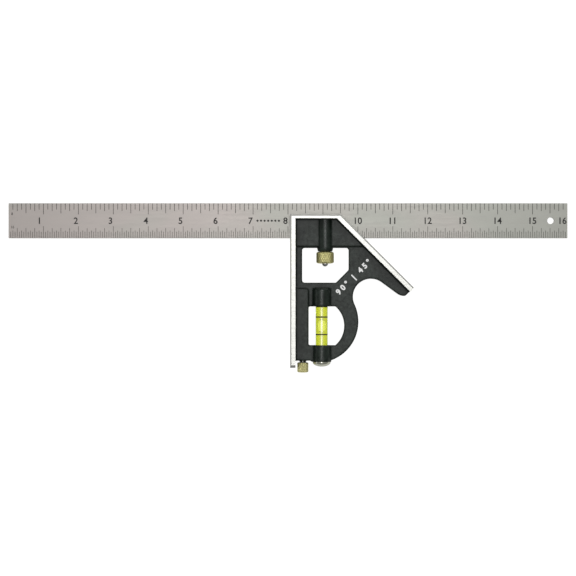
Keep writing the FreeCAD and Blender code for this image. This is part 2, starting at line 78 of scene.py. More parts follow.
# ---------------------------------------------------------------------------------------------
# Table and light: a pale translucent sheet that glows from below toward the lens. Above it are a broad soft
# lamp, a brighter strip and a small key lamp. Two low soft panels light the chamfers in a dimmer room.
# ---------------------------------------------------------------------------------------------
ROOM_LIGHT = 0.18
SHEET_COLOUR = (0.40, 0.40, 0.40, 1.0)
SHEET_FLECK = (0.42, 0.42, 0.415, 1.0)
SHEET_REACH = 3.0
SHEET_GRAIN = 300.0
SHEET_GLOW = 2.3
SHEET_THROUGH_GLASS = 0.45
SHEET_IN_METAL = 0.35
LAMPS = (
    ("lamp_overhead", (-0.05, 0.0, 2.0), (1.8, 1.6), 4.2),
    ("lamp_strip", (0.0, 0.0, 1.95), (0.2, 1.2), 3.6),
    ("lamp_key", (0.1, 0.42, 1.9), (0.34, 0.34), 3.6),
    ("panel_left", (-1.8, 0.0, 0.35), (1.4, 0.7), 2.8),
    ("panel_upper_right", (0.85, 1.55, 0.35), (2.8, 0.7), 6.0),
)

scene = bpy.context.scene
scene.view_settings.view_transform = "Standard"
world = bpy.data.worlds.new("room")
world.use_nodes = True
world.node_tree.nodes["Background"].inputs["Color"].default_value = (1.0, 1.0, 1.0, 1.0)
world.node_tree.nodes["Background"].inputs["Strength"].default_value = ROOM_LIGHT
scene.world = world

for lamp_name, lamp_place, lamp_size, lamp_power in LAMPS:
    lamp_data = bpy.data.lights.new(lamp_name, "AREA")
    lamp_data.shape = "RECTANGLE"
    lamp_data.size, lamp_data.size_y = lamp_size
    lamp_data.energy = lamp_power
    lamp = bpy.data.objects.new(lamp_name, lamp_data)
    lamp.location = lamp_place
    toward = Vector((0.0, 0.0, 0.0)) - lamp.location
    lamp.rotation_euler = toward.to_track_quat("-Z", "Y").to_euler()
    scene.collection.objects.link(lamp)


def add(tree, kind, sockets=None, **settings):
    """New shader node. Settings are its own properties, and sockets its inputs: values or linked outputs."""
    node = tree.nodes.new(kind)
    for key, value in settings.items():
        setattr(node, key, value)
    for key, value in (sockets or {}).items():
        if isinstance(value, bpy.types.NodeSocket):
            tree.links.new(value, node.inputs[key])
        else:
            node.inputs[key].default_value = value
    return node


def maths(tree, operation, *values, clamp=False):
    """One step of arithmetic on numbers or sockets, giving the output socket."""
    node = add(tree, "ShaderNodeMath", dict(enumerate(values)), operation=operation, use_clamp=clamp)
    return node.outputs[0]


def mix(tree, share, first, second):
    """Colour between first (share 0) and second (share 1)."""
    node = add(tree, "ShaderNodeMix", {0: share, 6: first, 7: second}, data_type="RGBA")
    return node.outputs[2]


def group_of(name, inputs, outputs):
    """Empty shader group with these named sockets: returns the tree, its input node and its output node.
    An input's first value says what it is: a number, a colour, or None for a vector."""
    tree = bpy.data.node_groups.new(name, "ShaderNodeTree")
    kinds = {float: "NodeSocketFloat", tuple: "NodeSocketColor"}
    for socket_name, value in inputs:
        kind = kinds.get(type(value), "NodeSocketVector")
        socket = tree.interface.new_socket(socket_name, in_out="INPUT", socket_type=kind)
        if value is not None:
            socket.default_value = value
    for socket_name, kind in outputs:
        tree.interface.new_socket(socket_name, in_out="OUTPUT", socket_type=kind)
    return tree, tree.nodes.new("NodeGroupInput"), tree.nodes.new("NodeGroupOutput")


def use(tree, group, sockets=None):
    """The outputs of a copy of a shader group inside a material."""
    return add(tree, "ShaderNodeGroup", sockets, node_tree=group).outputs


def material(name, **values):
    """New Principled material with these plain socket values: returns it, its tree and its shader node."""
    made = bpy.data.materials.new(name)
    made.use_nodes = True
    shader = made.node_tree.nodes["Principled BSDF"]
    for key, value in values.items():
        shader.inputs[key.replace("_", " ")].default_value = value
    return made, made.node_tree, shader


def feed(tree, shader, bump=None, distance=0.0, normal=None, **sockets):
    """Links outputs into a shader's inputs, and a height output through a bump node laid over a normal."""
    for key, value in sockets.items():
        tree.links.new(value, shader.inputs[key.replace("_", " ")])
    if bump is not None:
        node = add(tree, "ShaderNodeBump", {"Height": bump, "Distance": distance, "Strength": 1.0})
        tree.links.new(node.outputs["Normal"], shader.inputs["Normal"])
        if normal is not None:
            tree.links.new(normal, node.inputs["Normal"])


def speckle_group():
    """Fine even mottling: colour between two tones, roughness to match, and a height."""
    tree, given, result = group_of(
        "speckle",
        [
            ("Grain per metre", 1500.0),
            ("Tone A", (0.5, 0.5, 0.5, 1.0)),
            ("Tone B", (0.6, 0.6, 0.6, 1.0)),
            ("Roughness A", 0.4),
            ("Roughness B", 0.5),
        ],
        [("Color", "NodeSocketColor"), ("Roughness", "NodeSocketFloat"), ("Height", "NodeSocketFloat")],
    )
    place = add(tree, "ShaderNodeTexCoord").outputs["Object"]
    fine = add(
        tree,
        "ShaderNodeTexNoise",
        {"Vector": place, "Scale": given.outputs[0], "Detail": 4.0, "Roughness": 0.6},
    )
    middle_scale = maths(tree, "MULTIPLY", given.outputs[0], 0.25)
    middle = add(tree, "ShaderNodeTexNoise", {"Vector": place, "Scale": middle_scale, "Detail": 3.0})
    broad_scale = maths(tree, "MULTIPLY", given.outputs[0], 0.04)
    broad = add(tree, "ShaderNodeTexNoise", {"Vector": place, "Scale": broad_scale, "Detail": 3.0})
    share = maths(tree, "MULTIPLY_ADD", fine.outputs["Fac"], 1.4, -1.45)
    share = maths(tree, "MULTIPLY_ADD", middle.outputs["Fac"], 1.5, share)
    share = maths(tree, "MULTIPLY_ADD", broad.outputs["Fac"], 1.0, share, clamp=True)
    tree.links.new(mix(tree, share, given.outputs[1], given.outputs[2]), result.inputs["Color"])
    rough = add(
        tree,
        "ShaderNodeMapRange",
        {"Value": share, "To Min": given.outputs[3], "To Max": given.outputs[4]},
    )
    tree.links.new(rough.outputs[0], result.inputs["Roughness"])
    height = maths(tree, "MULTIPLY_ADD", middle.outputs["Fac"], 1.5, fine.outputs["Fac"])
    tree.links.new(height, result.inputs["Height"])
    return tree


speckle = speckle_group()

bed = cad_box[0][2]
sheet_corners = [(x * SHEET_REACH, y * SHEET_REACH, bed) for x, y in ((-1, -1), (1, -1), (1, 1), (-1, 1))]
sheet_mesh = bpy.data.meshes.new("sheet")
sheet_mesh.from_pydata(sheet_corners, [], [(0, 1, 2, 3)])
sheet = bpy.data.objects.new("sheet", sheet_mesh)
scene.collection.objects.link(sheet)
sheet_paper, sheet_tree, sheet_shader = material("sheet_paper", Roughness=0.9, Specular_IOR_Level=0.1)
sheet_tones = {"Grain per metre": SHEET_GRAIN, "Tone A": SHEET_COLOUR, "Tone B": SHEET_FLECK}
paper = use(sheet_tree, speckle, sheet_tones)
ray = add(sheet_tree, "ShaderNodeLightPath").outputs
seen = ray["Is Camera Ray"]
seen = maths(sheet_tree, "MULTIPLY_ADD", ray["Is Transmission Ray"], SHEET_THROUGH_GLASS, seen)
seen = maths(sheet_tree, "MULTIPLY_ADD", ray["Is Glossy Ray"], SHEET_IN_METAL, seen)
glow = mix(sheet_tree, seen, (0.0, 0.0, 0.0, 1.0), paper["Color"])
feed(sheet_tree, sheet_shader, Base_Color=paper["Color"], Emission_Color=glow)
sheet_shader.inputs["Emission Strength"].default_value = SHEET_GLOW
sheet_mesh.materials.append(sheet_paper)

# ---------------------------------------------------------------------------------------------
# Head casting: sprayed with a satin black enamel that follows the casting's fine skin. After
# painting, the flanges' outer faces, their fronts and backs and the blade's slot are ground bare.
# ---------------------------------------------------------------------------------------------
HEAD_PAINT_DARK_AND_SHADE = (0.001, 0.005, 0.002, 1.0)
HEAD_PAINT_LIGHT = (0.036, 0.052, 0.040, 1.0)
GROUND_LIGHT = (0.62, 0.62, 0.59, 1.0)
GROUND_DARK = (0.42, 0.42, 0.395, 1.0)
PAINT_GRAIN = 1700.0
PAINT_TEXTURE = 0.05 * mm
GRINDING_SHARE = 0.08
GROUND_ROUGHNESS = 0.34
PAINT_ROUNDING = 1.8 * mm
CORNER_SHADE_REACH = 9.0 * mm
CORNER_SHADE_DEPTH = 3.0
CROWN_RISE = (1.6 * mm, 3.2 * mm)
CROWN_GLOSS = 0.15
GROUND_SKIN = 1.05 * mm
GROUND_FRONT = 0.06 * mm
FLANGE_END_BEVEL = 1.9 * mm
SLOT_HALF = 1.27 * mm
SLOT_FLOOR = -0.05 * mm
WEB_MIDDLE = Vector((46.0 * mm, -28.2 * mm, 0.0))

head_low, head_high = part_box("head_casting")
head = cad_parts["head_casting"]
head_points = np.array([v.co for v in head.data.vertices])
web_face = head.ray_cast((*WEB_MIDDLE.xy, 1.0), (0.0, 0.0, -1.0))[1].z
mitre_reach = float((head_points[:, 0] + head_points[:, 1]).max())


def brushed_group():
    """Fine straight scratches along X of the vector given: a height, and a share that mixes two tones."""
    tree, given, result = group_of(
        "brushed", [("Vector", None)], [("Share", "NodeSocketFloat"), ("Height", "NodeSocketFloat")]
    )
    long_way = add(tree, "ShaderNodeMapping", {"Vector": given.outputs[0], "Scale": (60.0, 3000.0, 3000.0)})
    short_way = add(tree, "ShaderNodeMapping", {"Vector": given.outputs[0], "Scale": (400.0, 9000.0, 9000.0)})
    broad = add(tree, "ShaderNodeTexNoise", {"Vector": long_way.outputs[0], "Scale": 1.0, "Detail": 3.0})
    fine = add(tree, "ShaderNodeTexNoise", {"Vector": short_way.outputs[0], "Scale": 1.0, "Detail": 2.0})
    height = maths(tree, "MULTIPLY", broad.outputs["Fac"], 0.5)
    height = maths(tree, "MULTIPLY_ADD", fine.outputs["Fac"], 0.5, height)
    share = maths(tree, "MULTIPLY_ADD", height, 3.0, -1.0, clamp=True)
    tree.links.new(share, result.inputs["Share"])
    tree.links.new(height, result.inputs["Height"])
    return tree


def ground_mask_group():
    """1 where the head is ground bare, 0 where it is painted, from the place on the casting."""
    tree, given, result = group_of("ground_mask", [], [("Mask", "NodeSocketFloat")])
    place = add(tree, "ShaderNodeTexCoord").outputs["Object"]
    axes = add(tree, "ShaderNodeSeparateXYZ", {"Vector": place}).outputs
    deep = maths(tree, "ABSOLUTE", axes["Z"])
    across = maths(tree, "ADD", axes["X"], axes["Y"])
    square_skin = maths(tree, "LESS_THAN", axes["X"], GROUND_SKIN)
    top_skin = maths(tree, "GREATER_THAN", axes["Y"], head_high.y - GROUND_SKIN)
    mitre_skin = maths(tree, "GREATER_THAN", across, mitre_reach - GROUND_SKIN * math.sqrt(2.0))
    fronts = maths(tree, "GREATER_THAN", deep, head_high.z - GROUND_FRONT)
    slot = maths(tree, "LESS_THAN", deep, SLOT_HALF)
    above_floor = maths(tree, "GREATER_THAN", axes["Y"], SLOT_FLOOR)
    bare = maths(tree, "MAXIMUM", square_skin, top_skin)
    bare = maths(tree, "MAXIMUM", bare, mitre_skin)
    bare = maths(tree, "MAXIMUM", bare, fronts)
    bare = maths(tree, "MAXIMUM", bare, maths(tree, "MULTIPLY", slot, above_floor))
    foot = maths(tree, "LESS_THAN", axes["Y"], head_low.y + FLANGE_END_BEVEL)
    bare = maths(tree, "MAXIMUM", bare, foot)
    tree.links.new(bare, result.inputs["Mask"])
    return tree


def mix_value(tree, share, first, second):
    """Number between first (share 0) and second (share 1)."""
    node = add(tree, "ShaderNodeMix", {0: share, 2: first, 3: second}, data_type="FLOAT")
    return node.outputs[0]


def refinish(node, finish):
    """Gives a CAD part one material in place of its own."""
    node.data.materials.clear()
    node.data.materials.append(finish)


brushed = brushed_group()
ground_mask = ground_mask_group()

head_enamel, head_tree, head_shader = material("head_enamel", Specular_IOR_Level=0.5)
enamel = use(
    head_tree,
    speckle,
    {
        "Grain per metre": PAINT_GRAIN,
        "Tone A": HEAD_PAINT_DARK_AND_SHADE,
        "Tone B": HEAD_PAINT_LIGHT,
        "Roughness A": 0.52,
        "Roughness B": 0.42,
    },
)
head_place = add(head_tree, "ShaderNodeTexCoord").outputs["Object"]
grinding = use(head_tree, brushed, {"Vector": head_place})
bare = use(head_tree, ground_mask)["Mask"]
ground_tone = mix(head_tree, grinding["Share"], GROUND_LIGHT, GROUND_DARK)
painted = maths(head_tree, "SUBTRACT", 1.0, bare)
enamel_height = maths(head_tree, "MULTIPLY", enamel["Height"], painted)
grinding_share = maths(head_tree, "MULTIPLY", bare, GRINDING_SHARE)
grinding_height = maths(head_tree, "MULTIPLY", grinding["Height"], grinding_share)
# Paint fills the inner corners, and the ground faces stay sharp
filled = add(head_tree, "ShaderNodeBevel", {"Radius": PAINT_ROUNDING}, samples=8).outputs["Normal"]
plain = add(head_tree, "ShaderNodeNewGeometry").outputs["Normal"]
# Painted shade: the enamel's colour goes to its dark tone in the inner corners, by ambient occlusion, and the
# tops of the bosses are rubbed smoother
corner_occlusion = add(head_tree, "ShaderNodeAmbientOcclusion", {"Distance": CORNER_SHADE_REACH}, samples=8, only_local=True)
unshaded = maths(head_tree, "POWER", corner_occlusion.outputs["AO"], CORNER_SHADE_DEPTH)
shaded_enamel = mix(head_tree, unshaded, HEAD_PAINT_DARK_AND_SHADE, enamel["Color"])
head_depth = add(head_tree, "ShaderNodeSeparateXYZ", {"Vector": head_place}).outputs["Z"]
crown_from, crown_to = (web_face + rise for rise in CROWN_RISE)
crown = add(
    head_tree,
    "ShaderNodeMapRange",
    {
        "Value": maths(head_tree, "ABSOLUTE", head_depth),
        "From Min": crown_from,
        "From Max": crown_to,
        "To Min": 0.0,
        "To Max": CROWN_GLOSS,
    },
).outputs[0]
coat_roughness = maths(head_tree, "SUBTRACT", enamel["Roughness"], crown)
head_normal = add(head_tree, "ShaderNodeMix", {0: bare, 4: filled, 5: plain}, data_type="VECTOR")
feed(
    head_tree,
    head_shader,
    bump=maths(head_tree, "ADD", enamel_height, grinding_height),
    distance=PAINT_TEXTURE,
    normal=head_normal.outputs[1],
    Base_Color=mix(head_tree, bare, shaded_enamel, ground_tone),
    Roughness=mix_value(head_tree, bare, coat_roughness, GROUND_ROUGHNESS),
    Metallic=bare,
)
refinish(head, head_enamel)

# Angle marks: printed on the web in white ink, along the mitre, one for each of the head's faces.
INK_HEIGHT = 3.9 * mm
INK_PROUD = 0.03 * mm
INK_BOLD = 0.045
INK_SPREAD = 1.6
INK_GRAIN = 2500.0
INK_GLOW = 0.4
INK_DULL = (0.78, 0.79, 0.78, 1.0)
INK_BRIGHT = (0.9, 0.9, 0.89, 1.0)
INK_TURN = math.radians(45.0)


def text_mesh(name, text, bold=0.0, spread=1.0):
    """Mesh of a line of text at the font's own size, half a unit thick to each side of its plane."""
    curve = bpy.data.curves.new(name, "FONT")
    curve.body = text
    curve.resolution_u = 4
    curve.offset = bold
    curve.space_character = spread
    curve.extrude = 0.5
    text_object = bpy.data.objects.new(name, curve)
    scene.collection.objects.link(text_object)
    bpy.context.view_layer.update()
    mesh = bpy.data.meshes.new_from_object(text_object)
    bpy.data.objects.remove(text_object)
    return mesh


# The height of a nought sets the scale of every figure
zero_heights = [v.co.y for v in text_mesh("zero", "0").vertices]
zero_base, zero_tall = min(zero_heights), max(zero_heights) - min(zero_heights)


def lettering(name, text, height, proud, place, bold=0.012, spread=1.0):
    """Flat figures as a mesh: their height and thickness are given, and place(x, y, z) puts them on a face.
    Their own left end and baseline are at x = 0 and y = 0."""
    mesh = text_mesh(name, text, bold, spread)
    points = np.array([v.co for v in mesh.vertices])
    across = (points[:, 0] - points[:, 0].min()) * height / zero_tall
    upward = (points[:, 1] - zero_base) * height / zero_tall
    flat = np.stack([across, upward, np.sign(points[:, 2]) * proud], axis=1)
    mesh.vertices.foreach_set("co", place(flat).ravel())
    mesh.update()
    made = bpy.data.objects.new(name, mesh)
    scene.collection.objects.link(made)
    return made


ink_ahead = np.array([math.cos(INK_TURN), math.sin(INK_TURN), 0.0])
ink_up = np.array([-math.sin(INK_TURN), math.cos(INK_TURN), 0.0])


def on_web(flat):
    """Lays figures along the mitre's direction, centred on the middle of the web's arm."""
    middle = flat[:, 0].max() / 2
    face = np.array([WEB_MIDDLE.x, WEB_MIDDLE.y, web_face])
    return (
        face
        + (flat[:, :1] - middle) * ink_ahead
        + (flat[:, 1:2] - INK_HEIGHT / 2) * ink_up
        + flat[:, 2:] * np.array([0.0, 0.0, 1.0])
    )


angle_marks = lettering("angle_marks", "90° | 45°", INK_HEIGHT, INK_PROUD, on_web, INK_BOLD, INK_SPREAD)
white_ink, ink_tree, ink_shader = material("white_ink", Roughness=0.5)
ink_coat = use(ink_tree, speckle, {"Grain per metre": INK_GRAIN, "Tone A": INK_DULL, "Tone B": INK_BRIGHT})
# The ink glows a little: painted light that makes it brighter than the lamps alone do
feed(ink_tree, ink_shader, Base_Color=ink_coat["Color"], Emission_Color=ink_coat["Color"])
ink_shader.inputs["Emission Strength"].default_value = INK_GLOW
angle_marks.data.materials.append(white_ink)
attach(angle_marks, "head")

# ---------------------------------------------------------------------------------------------
# Blade: spring steel with a satin chrome finish, brushed along its length. Its divisions and
# figures are etched and filled with dark grey; the back carries the finer scales beside the groove.
# ---------------------------------------------------------------------------------------------
INCH = 25.4 * mm
BLADE_GREEN = (0.355, 0.36, 0.325, 1.0)
BLADE_PINK = (0.42, 0.38, 0.36, 1.0)
BLADE_BRIGHT = (0.50, 0.485, 0.46, 1.0)
GREENER_PER_METRE = 3.0
BRUSHING_DEPTH = 0.012 * mm
BRUSHING_SHARE = 0.35
ETCH_GRAIN = 2600.0
ETCH_DARK = (0.022, 0.02, 0.019, 1.0)
ETCH_WORN = (0.05, 0.046, 0.044, 1.0)
ETCH_PROUD = 0.015 * mm
ETCH_SUNK = 0.02 * mm
EDGE_INSET = 0.16 * mm
FIGURE_HEIGHT = 4.6 * mm
FIGURE_BEFORE_LINE = (3.4 * mm, 2.3 * mm)
FIGURE_BOLD = 0.018
BACK_FIGURE_HEIGHT = 2.9 * mm
BACK_FIGURE_GAP = 0.9 * mm
BACK_FIGURE_AFTER_LINE = 0.5 * mm
LAST_FIGURE_BEFORE_END = 5.9 * mm
DIVISION_MARK_HEIGHT = 1.9 * mm
DIVISION_MARK_FROM_END = 2.0 * mm
DIVISION_MARK_INSETS = (8.6 * mm, 7.2 * mm)
# Millimetres of line for a whole inch, a half, a quarter and so on down to the finest division
UPPER_FRONT = (8.1, 7.3, 5.6, 4.6)
LOWER_FRONT = (8.7, 7.4, 7.3, 5.6, 4.7)
UPPER_BACK = (6.4, 5.8, 5.0, 4.2, 3.3, 2.5)
LOWER_BACK = (6.4, 5.8, 5.0, 4.2, 3.3, 2.5, 1.9)
UPPER_FRONT_LINE = 0.38 * mm
LOWER_FRONT_LINE = 0.32 * mm
UPPER_BACK_LINE = 0.15 * mm
LOWER_BACK_LINE = 0.12 * mm

blade_low, blade_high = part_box("blade")
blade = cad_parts["blade"]
inches = round((blade_high.x - blade_low.x) / INCH)

blade_satin, blade_tree, blade_shader = material("blade_satin", Metallic=1.0)
blade_place = add(blade_tree, "ShaderNodeTexCoord").outputs["Object"]
blade_x = add(blade_tree, "ShaderNodeSeparateXYZ", {"Vector": blade_place}).outputs["X"]
blade_grain = use(blade_tree, brushed, {"Vector": blade_place})
drift_place = add(blade_tree, "ShaderNodeMapping", {"Vector": blade_place, "Scale": (14.0, 22.0, 22.0)})
drift = add(
    blade_tree, "ShaderNodeTexNoise", {"Vector": drift_place.outputs[0], "Scale": 1.0, "Detail": 2.0}
)
drift_share = maths(blade_tree, "MULTIPLY_ADD", drift.outputs["Fac"], 3.2, -1.1)
drift_share = maths(blade_tree, "MULTIPLY_ADD", blade_x, -GREENER_PER_METRE, drift_share, clamp=True)
blade_tint = mix(blade_tree, drift_share, BLADE_GREEN, BLADE_PINK)
blade_streak = maths(blade_tree, "MULTIPLY", blade_grain["Share"], BRUSHING_SHARE)
feed(
    blade_tree,
    blade_shader,
    bump=blade_grain["Height"],
    distance=BRUSHING_DEPTH,
    Base_Color=mix(blade_tree, blade_streak, blade_tint, BLADE_BRIGHT),
    Roughness=maths(blade_tree, "MULTIPLY_ADD", blade_grain["Share"], 0.12, 0.40),
)
refinish(blade, blade_satin)

etch_fill, etch_tree, etch_shader = material("etch_fill", Roughness=0.6)
etch_tone = use(etch_tree, speckle, {"Grain per metre": ETCH_GRAIN, "Tone A": ETCH_DARK, "Tone B": ETCH_WORN})
feed(etch_tree, etch_shader, Base_Color=etch_tone["Color"])


def solid_marks(name, boxes):
    """One mesh of many small boxes. Each row of boxes is its low corner and its high corner."""
    boxes = np.asarray(boxes, float)
    pick = np.array([(i, j, k) for i in (0, 1) for j in (0, 1) for k in (0, 1)])
    corners = np.stack([boxes[:, axis + 3 * pick[:, axis]] for axis in range(3)], axis=2)
    sides = np.array([(0, 1, 3, 2), (4, 6, 7, 5), (0, 4, 5, 1), (2, 3, 7, 6), (0, 2, 6, 4), (1, 5, 7, 3)])
    faces = (np.arange(len(boxes))[:, None, None] * 8 + sides[None]).reshape(-1, 4)
    mesh = bpy.data.meshes.new(name)
    mesh.from_pydata(corners.reshape(-1, 3).tolist(), [], faces.tolist())
    mesh.update()
    made = bpy.data.objects.new(name, mesh)
    scene.collection.objects.link(made)
    return made


def scale_lines(lengths, edge, inward, face, outward, thickness):
    """Boxes for one scale: line n of each inch is as long as its place in the halving calls for.
    They stand on the edge y = edge, run inward (1 or -1), and lie on the face z = face that looks outward."""
    per_inch = 2 ** (len(lengths) - 1)
    rows = []
    for n in range(1, inches * per_inch):
        order = len(lengths) - 1
        step = n
        while order and step % 2 == 0:
            order -= 1
            step //= 2
        x = blade_low.x + n * INCH / per_inch
        ends = sorted((edge + inward * EDGE_INSET, edge + inward * lengths[order] * mm))
        depths = sorted((face - outward * ETCH_SUNK, face + outward * ETCH_PROUD))
        rows.append((x - thickness / 2, ends[0], depths[0], x + thickness / 2, ends[1], depths[1]))
    return rows


front_face, back_face = blade_high.z, blade_low.z
scales = (
    ("scale_front_eighths", UPPER_FRONT, blade_high.y, -1, front_face, 1, UPPER_FRONT_LINE),
    ("scale_front_sixteenths", LOWER_FRONT, blade_low.y, 1, front_face, 1, LOWER_FRONT_LINE),
    ("scale_back_32nds", UPPER_BACK, blade_high.y, -1, back_face, -1, UPPER_BACK_LINE),
    ("scale_back_64ths", LOWER_BACK, blade_low.y, 1, back_face, -1, LOWER_BACK_LINE),
)
etched = [solid_marks(name, scale_lines(*rest)) for name, *rest in scales]


def on_front(left, bottom):
    """Placer for figures that read from the front, with their lower left corner at (left, bottom)."""
    return lambda flat: flat + np.array([left, bottom, front_face])


def on_back(left, bottom):
    """Placer for figures that read from the back once the blade is turned over about its long axis."""
    return lambda flat: flat * np.array([1.0, -1.0, -1.0]) + np.array([left, bottom, back_face])


blade_middle = (blade_low.y + blade_high.y) / 2
back_rows = (
    ("upper", blade_high.y - UPPER_BACK[0] * mm - BACK_FIGURE_GAP),
    ("lower", blade_low.y + LOWER_BACK[0] * mm + BACK_FIGURE_GAP + BACK_FIGURE_HEIGHT),
)
for n in range(1, inches + 1):
    line_x = blade_low.x + n * INCH
    left = line_x - FIGURE_BEFORE_LINE[len(str(n)) - 1]
    if n == inches:
        left = line_x - LAST_FIGURE_BEFORE_END
    place = on_front(left, blade_middle - FIGURE_HEIGHT / 2)
    etched.append(lettering(f"figure_front_{n}", str(n), FIGURE_HEIGHT, ETCH_PROUD, place, FIGURE_BOLD))
    if n == inches:
        continue
    for row, top in back_rows:
        place = on_back(line_x + BACK_FIGURE_AFTER_LINE, top)
        etched.append(lettering(f"figure_back_{row}_{n}", str(n), BACK_FIGURE_HEIGHT, ETCH_PROUD, place))
division_rows = (
    ("8", blade_high.y - DIVISION_MARK_INSETS[0]),
    ("16", blade_low.y + DIVISION_MARK_INSETS[1]),
)
for text, y in division_rows:
    place = on_front(blade_low.x + DIVISION_MARK_FROM_END, y)
    etched.append(lettering(f"division_{text}", text, DIVISION_MARK_HEIGHT, ETCH_PROUD, place))

# A plain row of lozenges fills the gap between two of the figures
LOZENGES = 7
LOZENGE_HALF = 0.95 * mm
LOZENGE_PITCH = 2.6 * mm
LOZENGE_START = 7 * INCH + 3.2 * mm

lozenge_x = blade_low.x + LOZENGE_START + np.arange(LOZENGES) * LOZENGE_PITCH
lozenge_corners = np.array([(1, 0), (0, 1), (-1, 0), (0, -1)]) * LOZENGE_HALF
lozenge_points = np.zeros((LOZENGES, 2, 4, 3))
lozenge_points[..., 0] = lozenge_x[:, None, None] + lozenge_corners[:, 0]
lozenge_points[..., 1] = blade_middle + lozenge_corners[:, 1]
lozenge_points[:, 0, :, 2] = front_face - ETCH_SUNK
lozenge_points[:, 1, :, 2] = front_face + ETCH_PROUD
lozenge_sides = np.array([(4, 5, 6, 7), (3, 2, 1, 0), (0, 1, 5, 4), (1, 2, 6, 5), (2, 3, 7, 6), (3, 0, 4, 7)])
lozenge_faces = (np.arange(LOZENGES)[:, None, None] * 8 + lozenge_sides).reshape(-1, 4)
lozenge_mesh = bpy.data.meshes.new("lozenges")
lozenge_mesh.from_pydata(lozenge_points.reshape(-1, 3).tolist(), [], lozenge_faces.tolist())
lozenges = bpy.data.objects.new("lozenges", lozenge_mesh)
scene.collection.objects.link(lozenges)
etched.append(lozenges)

for piece in etched:
    piece.data.materials.append(etch_fill)
    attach(piece, "blade")

# ---------------------------------------------------------------------------------------------
# Lock nut: turned brass with crowned ends and a diamond knurl rolled into its side. The bore is
# threaded. Grime and oxide have darkened the bottoms of the knurl.
# ---------------------------------------------------------------------------------------------
BRASS_LIGHT = (1.0, 0.94, 0.44, 1.0)
BRASS_DULL = (0.93, 0.87, 0.41, 1.0)
BRASS_GRIME = (0.26, 0.23, 0.13, 1.0)
BRASS_GRAIN = 1400.0
GRIME_SHARE = 0.2
NUT_KNURLS = 26
NUT_KNURL_DEPTH = 0.24 * mm
NUT_KNURL_PITCH = 1.5 * mm
NUT_ENDS_ROUND = (1.1 * mm, 1.5 * mm)
NUT_HUB = 3.2 * mm
NUT_BORE = 2.35 * mm
NUT_KNURL_FADE = (4.6 * mm, 5.8 * mm)
NUT_THREAD_DEPTH = 0.3 * mm
PROFILE_SPACING = 0.13 * mm
THREAD_PITCH = 0.8 * mm

nut_low, nut_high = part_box("lock_nut")
nut_radius = (nut_high.z - nut_low.z) / 2


def axis_of(low, high):
    """Middle of a box in X and Z, which an axis along Y passes through."""
    return Vector(((low.x + high.x) / 2, 0.0, (low.z + high.z) / 2))


def turned_piece(name, axis, along, radius, turns=96, closed=False, marks=None):
    """Surface of revolution about the line x = axis.x, z = axis.z.
    Point (i, j) is (axis.x + r sin a, y, axis.z + r cos a), where a = 2 pi j / turns, y = along[i] and
    r = radius[i] or radius[i, j]. A closed profile joins its last ring to its first. An open one gets a flat
    or pointed end at each side from a single middle point. marks[i, j] is kept as the attribute "groove"."""
    along = np.asarray(along, float)
    radius = np.asarray(radius, float)
    if radius.ndim == 1:
        radius = np.repeat(radius[:, None], turns, axis=1)
    angle = 2 * np.pi * np.arange(turns) / turns
    x = axis.x + radius * np.sin(angle)
    z = axis.z + radius * np.cos(angle)
    y = np.repeat(along[:, None], turns, axis=1)
    points = np.stack([x, y, z], axis=2).reshape(-1, 3)
    rings = len(along)
    ring = np.arange(rings if closed else rings - 1)[:, None]
    step = np.arange(turns)[None, :]
    here = ring * turns + step
    ahead = ring * turns + (step + 1) % turns
    next_ring = (ring + 1) % rings
    faces = np.stack(
        [here, ahead, next_ring * turns + (step + 1) % turns, next_ring * turns + step], axis=2
    ).reshape(-1, 4).tolist()
    groove = np.zeros(len(points)) if marks is None else marks.reshape(-1)
    if not closed:
        ends = np.array([[axis.x, along[0], axis.z], [axis.x, along[-1], axis.z]])
        points = np.concatenate([points, ends])
        groove = np.concatenate([groove, [0.0, 0.0]])
        first, last = len(points) - 2, len(points) - 1
        faces += [(first, (j + 1) % turns, j) for j in range(turns)]
        top = (rings - 1) * turns
        faces += [(last, top + j, top + (j + 1) % turns) for j in range(turns)]
    mesh = bpy.data.meshes.new(name)
    mesh.from_pydata(points.tolist(), [], faces)
    mesh.update()
    attribute = mesh.attributes.new("groove", "FLOAT", "POINT")
    attribute.data.foreach_set("value", groove.astype(np.float32))
    made = bpy.data.objects.new(name, mesh)
    scene.collection.objects.link(made)
    face_outward(made)
    mesh.polygons.foreach_set("use_smooth", np.ones(len(mesh.polygons), bool))
    mesh.set_sharp_from_angle(angle=math.radians(38.0))
    return made


def face_outward(piece):
    """Merges doubled points and makes every face of a closed mesh look outward."""
    work = bmesh.new()
    work.from_mesh(piece.data)
    bmesh.ops.remove_doubles(work, verts=work.verts, dist=1e-8)
    bmesh.ops.recalc_face_normals(work, faces=work.faces)
    if work.calc_volume(signed=True) < 0:
        bmesh.ops.reverse_faces(work, faces=work.faces)
    work.to_mesh(piece.data)
    work.free()


def knurl(along, turns, count, pitch):
    """Diamond knurl: 1 on the points and 0 in the grooves. Two sets of V grooves wind opposite ways, and
    the height is the lower of the two triangle waves of count * a / 2 pi + y / pitch and ... - y / pitch."""
    turn = np.arange(turns)[None, :] / turns * count
    climb = np.asarray(along)[:, None] / pitch
    right = np.abs(((turn + climb) % 1.0) * 2.0 - 1.0)
    left = np.abs(((turn - climb) % 1.0) * 2.0 - 1.0)
    return np.clip(np.minimum(right, left) * 1.6, 0.0, 1.0)


def stretch(points, spacing):
    """Adds points along a profile of (y, r) corners so that none are further apart than spacing."""
    points = np.asarray(points, float)
    result = [points[0]]
    for a, b in zip(points[:-1], points[1:]):
        parts = max(1, math.ceil(float(np.linalg.norm(b - a)) / spacing))
        result += [a + (b - a) * k / parts for k in range(1, parts + 1)]
    return np.array(result)


